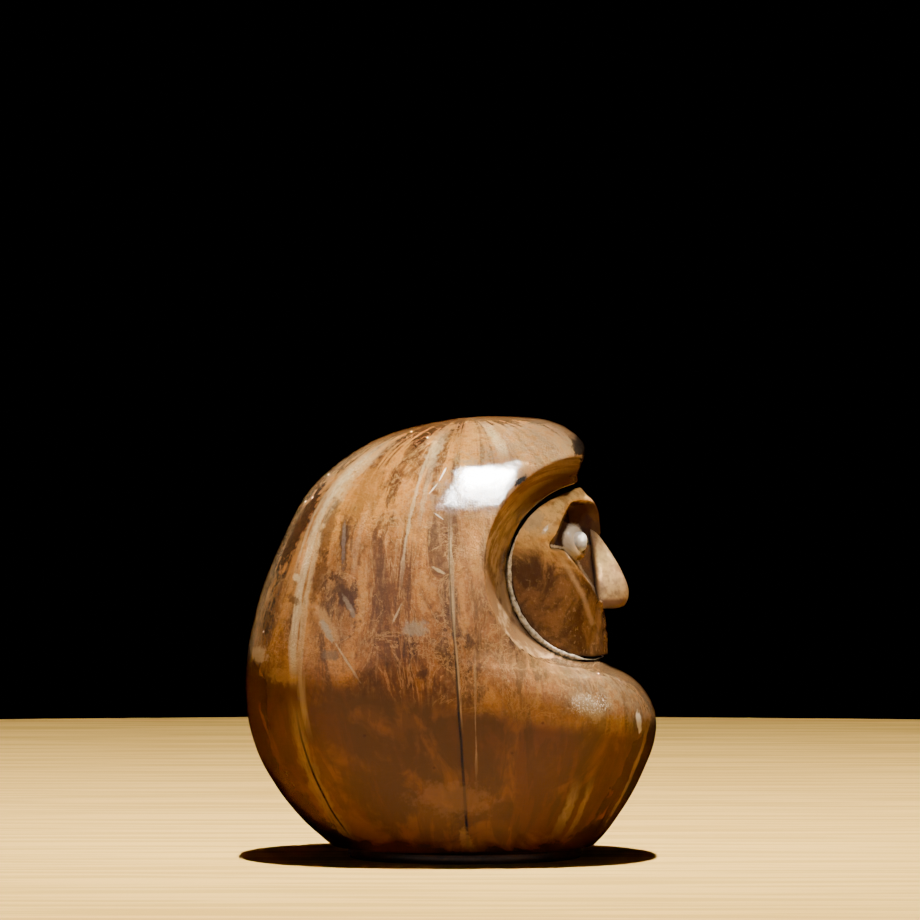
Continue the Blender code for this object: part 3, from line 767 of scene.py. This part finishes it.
def build_robe():
    """The whole nut, with the hollow and the saw cut under it taken away."""
    around, across, margin = 480, 220, 2.0
    ring = evenly(ROBE_CURVE, around)
    turn = np.linspace(0.0, math.pi, across + 1)[1:-1]
    power = 2.0 / FULLNESS
    side = (np.sign(np.cos(turn)) * np.abs(np.cos(turn)) ** power * HALF_WIDTH)[:, None]
    share = (np.sin(turn) ** power)[:, None, None]
    flat = HEART + (ring[None] - HEART) * share
    robe = grid_object("robe_skin", np.broadcast_to(side, flat.shape[:2]), flat[..., 0], flat[..., 1])

    angle = np.linspace(0.0, 2 * math.pi, 400, endpoint=False)[None]
    side = np.linspace(-HALF_WIDTH - margin, HALF_WIDTH + margin, 240)[:, None]
    radius = hollow_radius(angle, np.abs(side))
    side = np.broadcast_to(side, radius.shape)
    hollow = grid_object(
        "hollow", side, FACE_CENTRE[0] + radius * np.cos(angle), FACE_CENTRE[1] + radius * np.sin(angle)
    )
    block_reach, block_bottom = 40.0, -20.0
    corner = np.array([(-1, -1), (1, -1), (1, 1), (-1, 1)]) * block_reach
    block_side = np.stack([corner[:, 0]] * 2)
    block_forward = np.stack([corner[:, 1]] * 2)
    block_up = np.array([[block_bottom] * 4, [FOOT_HEIGHT] * 4])
    ground = grid_object("saw_cut", block_side, block_forward, block_up)
    carve(robe, [(hollow, "DIFFERENCE"), (ground, "DIFFERENCE")], voxel=0.17, passes=4)
    robe.name = "robe_skin"

    def handwork(side, forward, up):
        low = fractal(side, forward, up, size=9.0, octaves=3)
        fine = fractal(side, forward, up, size=1.4, octaves=2)
        inside = np.clip(up - FOOT_HEIGHT, 0.0, 1.0)
        return (low * 0.10 + fine * 0.012 - 0.08) * inside

    push_out(robe, handwork)
    return ship(robe, "robe", nut_skin())


def face_scoop():
    """Outline of the carved hollow round the eye and down to the nose, as (side, up)."""
    return smooth_curve((
        (9.7, 31.8), (9.2, 33.2), (8.3, 34.9), (6.8, 36.0), (4.5, 36.3), (2.0, 35.8), (0.7, 34.0),
        (0.4, 31.0),
        (0.8, 28.6), (1.6, 26.4), (3.9, 26.6), (5.5, 27.8), (7.0, 29.3), (8.1, 30.7), (8.7, 31.5),
    ), 8)


def inside_distance(points, outline):
    """Distance from each point to a closed outline, positive inside."""
    a, b = outline, np.roll(outline, -1, axis=0)
    best = np.full(len(points), 1e9)
    inside = np.zeros(len(points), bool)
    for p, q in zip(a, b):
        along = q - p
        t = np.clip(((points - p) @ along) / (along @ along), 0.0, 1.0)
        best = np.minimum(best, np.linalg.norm(points - p - t[:, None] * along, axis=1))
        crosses = (p[1] > points[:, 1]) != (q[1] > points[:, 1])
        rise = along[1] if along[1] else 1e-9
        inside ^= crosses & (points[:, 0] < along[0] * (points[:, 1] - p[1]) / rise + p[0])
    return np.where(inside, best, -best)


def face_relief(side, up):
    """How far the carving stands in front of the plain column of the face, in millimetres."""
    x = np.abs(side)
    depth = inside_distance(np.stack([x, up], axis=1), face_scoop())
    floor = 1.9 + 0.8 * smooth_step((up - 28.5) / 4.5)
    slope = TEMPLE_SETBACK * np.clip((up - TEMPLE_START) / TEMPLE_SPAN, 0.0, 1.0) ** TEMPLE_POWER
    scoop = floor * smooth_step((depth + 0.1) / 0.55) ** 0.8
    lid = np.hypot((x - EYE_PLACE[0]) / 1.75, (up - EYE_PLACE[2]) / 1.65)
    scoop -= 1.6 * smooth_step((1.45 - lid) / 0.6) * smooth_step(depth / 0.4)
    brow = 0.35 * np.exp(-((depth + 0.45) / 0.5) ** 2) * smooth_step((up - 32.2) / 1.0)
    lower_lid = 0.14 * np.exp(-((depth + 0.3) / 0.35) ** 2) * smooth_step((32.2 - up) / 0.6)
    fold = 0.3 * np.exp(-(((x - 4.4) - (24.5 - up) * 0.55) / 0.7) ** 2)
    fold *= smooth_step((up - 20.8) / 1.5) * smooth_step((27.5 - up) / 2.0)
    mouth = 0.22 * np.exp(-((up - 23.2 + 0.02 * x * x) / 0.22) ** 2) * smooth_step((3.4 - x) / 0.8)
    lips = 0.12 * np.exp(-((up - 23.2) / 1.3) ** 2) * smooth_step((4.2 - x) / 2.4)
    cheek = 0.35 * np.exp(-((x - 7.2) / 2.4) ** 2 - ((up - 27.2) / 3.0) ** 2)
    return cheek + brow + lower_lid + lips - scoop - fold - mouth - slope * smooth_step((x - 3.0) / 3.0)


def build_face():
    """The carved column of the face, cut round to fit its seat."""
    columns, rows = 560, 250
    turn = np.linspace(0.0, 2 * math.pi, columns, endpoint=False)[None]
    up = np.linspace(*FACE_BLANK, rows)[:, None]
    across = np.sin(turn) * FACE_HALF_WIDTH
    depth = (brow_front(up) - FACE_BACK) * np.cos(turn)
    side = np.broadcast_to(across, depth.shape)
    heights = np.broadcast_to(up, depth.shape)
    relief = face_relief(side.ravel(), heights.ravel()).reshape(depth.shape) * (np.cos(turn) > 0.0)
    normal_side = np.sin(turn) / FACE_HALF_WIDTH
    normal_forward = np.cos(turn) / (brow_front(up) - FACE_BACK)
    length = np.hypot(normal_side, normal_forward)
    side = side + relief * normal_side / length
    forward = FACE_BACK + depth + relief * normal_forward / length
    face = grid_object("face_block", side, forward, heights)

    shape = (14, 240)
    angle = np.linspace(0.0, 2 * math.pi, shape[1], endpoint=False)[None]
    reach = np.linspace(-FACE_HALF_WIDTH - 2.0, FACE_HALF_WIDTH + 2.0, shape[0])[:, None]
    radius = SEAT_RADIUS - FIT - 0.35 * np.exp(-((angle - math.radians(108.0)) / 0.35) ** 2)
    radius -= 0.25 * smooth_step((angle - math.radians(170.0)) / 0.4)
    forward, heights = FACE_CENTRE[0] + radius * np.cos(angle), FACE_CENTRE[1] + radius * np.sin(angle)
    bar = grid_object("bar", *(np.broadcast_to(values, shape) for values in (reach, forward, heights)))
    carve(face, [(bar, "INTERSECT")], voxel=0.10, passes=2)

    def handwork(side, forward, up):
        low = fractal(side, forward, up, size=3.5, octaves=3)
        fine = fractal(side, forward, up, size=0.45, octaves=2)
        lower = smooth_step((27.0 - up) / 3.0) * smooth_step((forward - 12.0) / 2.0)
        return low * 0.04 + fine * (0.008 + 0.018 * lower) - 0.03

    push_out(face, handwork)
    return ship(face, "face", carved_face())


def build_nose():
    """A loft of rounded sections from the bridge to just under the tip.

    Each level gives its height, its front, and its half widths at the root and at the front.
    """
    levels = smooth_curve((
        (33.5, 14.3, 0.7, 0.35), (33.0, 14.95, 1.0, 0.5), (31.1, 16.3, 1.35, 0.7), (29.2, 17.4, 1.8, 0.85),
        (27.6, 18.05, 2.3, 1.05), (26.4, 18.1, 2.6, 1.2), (25.6, 17.7, 2.6, 1.1), (25.35, 16.9, 2.3, 0.8),
    ), 10, closed=False)
    turn = np.linspace(0.0, 2 * math.pi, 96, endpoint=False)
    box = 0.5  # 1 would make the sections ellipses, and 0 rectangles
    cosine = np.sign(np.cos(turn)) * np.abs(np.cos(turn)) ** box
    sine = np.sign(np.sin(turn)) * np.abs(np.sin(turn)) ** box
    up, front, root, tip = (levels[:, k][:, None] for k in range(4))
    back = face_front(up) - NOSE_ROOT_DEPTH
    share = (cosine + 1.0) / 2.0
    forward = back + (front - back) * share
    side = (root + (tip - root) * share) * sine
    nose = grid_object("nose_wedge", side, forward, np.broadcast_to(up, side.shape))
    carve(nose, [], voxel=0.1, passes=4)
    push_out(nose, lambda s, f, u: fractal(s, f, u, size=1.6, octaves=2) * 0.03 - 0.02)
    material = plain_cut(
        "nut_ivory", light=(0.27, 0.165, 0.066), dark=(0.125, 0.068, 0.024), roughness=0.5, scale=0.9,
        coat=0.4, shaded_below=NOSE_SHADE_TOP,
    )
    return ship(nose, "nose", material)


def ellipsoid(name, centre, radii, rows=48, columns=64):
    turn = np.linspace(0.0, 2 * math.pi, columns, endpoint=False)[None]
    lean = np.linspace(0.0, math.pi, rows + 2)[1:-1, None]
    side = centre[0] + radii[0] * np.sin(lean) * np.cos(turn)
    forward = centre[1] + radii[1] * np.cos(lean) + 0.0 * turn
    up = centre[2] + radii[2] * np.sin(lean) * np.sin(turn)
    return grid_object(name, side, forward, up)


def build_eyes():
    white = plain_cut(
        "eye_bone", light=(0.90, 0.84, 0.76), dark=(0.74, 0.62, 0.50), roughness=0.3, scale=1.3, coat=1.0,
        shine=0.04,
    )
    black = plain_cut(
        "black_horn", light=(0.030, 0.022, 0.016), dark=(0.012, 0.009, 0.007), roughness=0.16, coat=0.9
    )
    made = []
    for label, sign in (("left", 1), ("right", -1)):
        side, forward, up = EYE_PLACE
        eye = ellipsoid(f"eye_{label}_bead", (sign * side, forward, up), EYE_SIZE)
        seat_place = (sign * side, forward + EYE_SIZE[1] + 0.15, up)
        socket = ellipsoid("pupil_seat", seat_place, (0.5, 0.45, 0.5))
        carve(eye, [(socket, "DIFFERENCE")], voxel=0.08, passes=2)
        ship(eye, f"eye_{label}", white)
        pupil_place = (sign * side, forward + EYE_SIZE[1] - 0.16, up)
        pupil = ellipsoid(f"pupil_{label}_peg", pupil_place, (0.46, 0.28, 0.46))
        settle(pupil)
        made += [eye, ship(pupil, f"pupil_{label}", black)]
    return made


def build_seat_bead():
    """The pale filler in the corner between the face and the hollow, uneven as if pressed in by hand."""
    length, columns = 520, 20
    radius = SEAT_RADIUS - FIT
    temple = math.radians(150.0)
    chin = 2 * math.pi - math.acos((CHIN_FRONT - FACE_CENTRE[0]) / radius)
    share = np.linspace(0.0, 1.0, length // 2, endpoint=False)
    angle = chin - (chin - temple) * (1.0 - share) ** 2
    forward = FACE_CENTRE[0] + radius * np.cos(angle)
    up = FACE_CENTRE[1] + radius * np.sin(angle)
    depth = face_front(up) - FACE_BACK
    side = FACE_HALF_WIDTH * np.sqrt(np.maximum(0.0, 1.0 - ((forward - FACE_BACK) / depth) ** 2))
    outward = np.stack([side / FACE_HALF_WIDTH**2, (forward - FACE_BACK) / depth**2], axis=1)
    outward /= np.linalg.norm(outward, axis=1)[:, None]
    proud = (0.22 - 0.75 * smooth_step((forward - 14.2) / 1.2) * (up < CHIN_HEIGHT + 3.0))[:, None]
    half = np.column_stack([side, forward, up])
    half[:, :2] += outward * proud
    route = np.concatenate([half, half[::-1] * (-1.0, 1.0, 1.0)])
    route = evenly(route, length, closed=False)
    along = np.gradient(route, axis=0)
    along /= np.linalg.norm(along, axis=1)[:, None]
    out = np.cross(along, (1.0, 0.0, 0.0))
    out /= np.linalg.norm(out, axis=1)[:, None] + 1e-9
    other = np.cross(along, out)
    wave = np.array([noise.noise((s * 0.9, f * 0.9, u * 0.9)) for s, f, u in route])
    from_end = np.minimum(np.arange(length), np.arange(length)[::-1]) / length
    crust = np.array([noise.noise((s * 3.1, f * 3.1, u * 3.1)) for s, f, u in route])
    end = 1.0 - smooth_step((route[:, 1] - 12.2) / 1.6) * (route[:, 2] < FACE_CENTRE[1])
    thick = (0.25 + 0.09 * wave + 0.06 * crust) * (0.12 + 0.88 * smooth_step(from_end / 0.10) * end)
    turn = np.linspace(0.0, 2 * math.pi, columns, endpoint=False)
    rings = (
        route[:, None] + thick[:, None, None]
        * (np.cos(turn)[None, :, None] * out[:, None] + np.sin(turn)[None, :, None] * other[:, None])
    )
    bead = grid_object("seat_bead_line", rings[..., 0], rings[..., 1], rings[..., 2])
    settle(bead)
    material = plain_cut(
        "pale_bead", light=(0.58, 0.48, 0.34), dark=(0.15, 0.115, 0.075), roughness=0.6, scale=2.2, coat=0.1
    )
    return ship(bead, "seat_bead", material)


def build_foot():
    """The small turned step under the doll, from a profile of radius and height."""
    profile = smooth_curve((
        (0.5, 0.01), (10.8, 0.01), (11.5, 0.06), (11.9, 0.35), (11.95, 0.7), (11.7, 1.05), (9.0, 1.1),
        (0.5, 1.1),
    ), 6, closed=False)
    turn = np.linspace(0.0, 2 * math.pi, 240, endpoint=False)[None]
    radius, up = profile[:, 0][:, None], profile[:, 1][:, None]
    foot = grid_object(
        "foot_disc", radius * np.cos(turn), FOOT_CENTRE_FORWARD + radius * np.sin(turn),
        np.broadcast_to(up, (len(profile), 240)),
    )
    settle(foot)
    # the plug's near-black colour is painted shade, as it sits in the doll's shadow
    material = plain_cut(
        "plug_wood", light=(0.05, 0.020, 0.009), dark=(0.022, 0.009, 0.005), roughness=0.6, scale=0.35
    )
    return ship(foot, "base_plug", material)


def build_dowel():
    """The hidden peg between the face and the robe, with chamfered ends and a fluted side."""
    profile = np.array(((0.3, 0.7), (1.0, 0.7), (1.4, 1.1), (1.4, 9.1), (1.0, 9.5), (0.3, 9.5)))
    flutes = 12
    turn = np.linspace(0.0, 2 * math.pi, 72, endpoint=False)[None]
    radius = profile[:, 0][:, None] * (1.0 + 0.03 * np.cos(turn * flutes))
    forward = np.broadcast_to(profile[:, 1][:, None], radius.shape)
    dowel = grid_object("dowel_peg", radius * np.cos(turn), forward, FACE_CENTRE[1] + radius * np.sin(turn))
    settle(dowel)
    material = plain_cut("dowel_wood", light=(0.60, 0.42, 0.21), dark=(0.42, 0.27, 0.12), roughness=0.6)
    return ship(dowel, "face_dowel", material)


# ---- stage, light and camera ------------------------------------------------------------------------------
TABLE_LIGHT = (0.88, 0.56, 0.14)
TABLE_DARK = (0.74, 0.44, 0.095)
LIGHT_TARGET = (0.0, 0.0, 0.02)
FACE_TARGET = (0.0, -0.012, 0.030)
DOME_BRIGHTNESS = 0.75
CAMERA_DISTANCE = 0.60
CAMERA_HEIGHT = 0.044
FRAME_WIDTH = 0.094
AIM = Vector((0.0, -0.0009, 0.0405))


def build_stage():
    """A round table top with a bevelled edge. The doll's gloss does not show it."""
    turn = np.linspace(0.0, 2 * math.pi, 256, endpoint=False)[None]
    radius = np.array((10.0, 288.0, 290.0, 288.0, 10.0))[:, None]
    up = np.array((0.0, 0.0, -2.0, -4.0, -4.0))[:, None]
    table = grid_object("table", radius * np.cos(turn), radius * np.sin(turn), np.broadcast_to(up, (5, 256)))
    table.visible_glossy = False
    paint = Paint("table_top", roughness=0.8, Specular_IOR_Level=0.0)
    grain = paint.noise(0.35, paint.vector(paint.side, paint.forward * 0.06, paint.up), detail=6.0)
    table.data.materials.append(paint.finish(paint.mix(TABLE_DARK, TABLE_LIGHT, grain.step(0.42, 0.58))))


def add_light(name, place, size, power, aim=LIGHT_TARGET, colour=(1.0, 0.96, 0.9)):
    light = bpy.data.lights.new(name, "AREA")
    light.shape = "RECTANGLE"
    light.size, light.size_y = size
    light.energy = power
    light.color = colour
    obj = bpy.data.objects.new(name, light)
    obj.location = place
    obj.rotation_euler = (Vector(aim) - Vector(place)).to_track_quat("-Z", "Y").to_euler()
    bpy.context.scene.collection.objects.link(obj)
    return obj


def light_only(light, pieces):
    receivers = bpy.data.collections.new(f"lit_by_{light.name}")
    for piece in pieces:
        receivers.objects.link(piece)
    light.light_linking.receiver_collection = receivers


def build_lights(pieces):
    """A small overhead lamp casts the shadow, and the softbox and the strip show only in the gloss.

    The fill reaches only the doll, and the face fill only its pieces other than the robe, which is the first.
    """
    lamp = add_light("overhead", place=(-0.068, -0.012, 0.75), size=(0.022, 0.022), power=1.5)
    lamp.data.spread = math.radians(52.0)
    lamp.visible_glossy = False
    box = add_light(
        "softbox", place=(-0.14, -0.005, 0.66), size=(0.13, 0.15), power=24.0, colour=(1.0, 0.99, 0.97)
    )
    box.visible_diffuse = False
    strip = add_light(
        "strip", place=(-0.265, 0.0, 0.615), size=(0.13, 0.15), power=11.0, colour=(1.0, 0.98, 0.95)
    )
    strip.visible_diffuse = False
    fill = add_light("fill", place=(-0.26, -0.18, 0.58), size=(0.12, 0.12), power=1.3)
    fill.visible_glossy = False
    light_only(fill, pieces)
    face_fill = add_light(
        "face_fill", place=(-0.39, -0.20, 0.42), size=(0.10, 0.10), power=1.9, aim=FACE_TARGET
    )
    light_only(face_fill, pieces[1:])
    build_dome()


def build_dome():
    """A dim reflector above the camera that only shows as sheen on glossy skin; dimmer below and black
    behind.
    """
    world = bpy.data.worlds.new("backdrop")
    world.use_nodes = True
    tree = world.node_tree
    place = tree.nodes.new("ShaderNodeTexCoord")
    split = tree.nodes.new("ShaderNodeSeparateXYZ")
    tree.links.new(place.outputs["Generated"], split.inputs[0])
    product = tree.nodes.new("ShaderNodeMath")
    product.operation = "MULTIPLY"
    for slot, (axis, start, end, least, most) in enumerate((
        ("Z", -0.10, 0.06, DOME_BRIGHTNESS * 0.4, DOME_BRIGHTNESS), ("X", 0.15, -0.75, 0.0, 1.0),
    )):
        ramp = tree.nodes.new("ShaderNodeMapRange")
        ramp.interpolation_type = "SMOOTHSTEP"
        for label, value in (("From Min", start), ("From Max", end), ("To Min", least), ("To Max", most)):
            ramp.inputs[label].default_value = value
        tree.links.new(split.outputs[axis], ramp.inputs["Value"])
        tree.links.new(ramp.outputs["Result"], product.inputs[slot])
    background = tree.nodes["Background"]
    background.inputs["Color"].default_value = (1.0, 0.97, 0.93, 1.0)
    tree.links.new(product.outputs[0], background.inputs["Strength"])
    world.cycles_visibility.camera = False
    world.cycles_visibility.diffuse = False
    bpy.context.scene.world = world


def build_camera():
    """The camera looks at the doll's right side, from about the height of its crown."""
    camera = bpy.data.objects.new("camera", bpy.data.cameras.new("camera"))
    camera.location = Vector((-CAMERA_DISTANCE, AIM.y, CAMERA_HEIGHT))
    camera.rotation_euler = (AIM - camera.location).to_track_quat("-Z", "Y").to_euler()
    camera.data.sensor_width = 36.0
    camera.data.lens = camera.data.sensor_width * CAMERA_DISTANCE / FRAME_WIDTH
    camera.data.clip_start = 0.01
    bpy.context.scene.collection.objects.link(camera)
    bpy.context.scene.camera = camera


doll = [
    build_robe(), build_face(), build_nose(), *build_eyes(), build_seat_bead(), build_foot(), build_dowel(),
]
build_stage()
build_lights(doll)
build_camera()
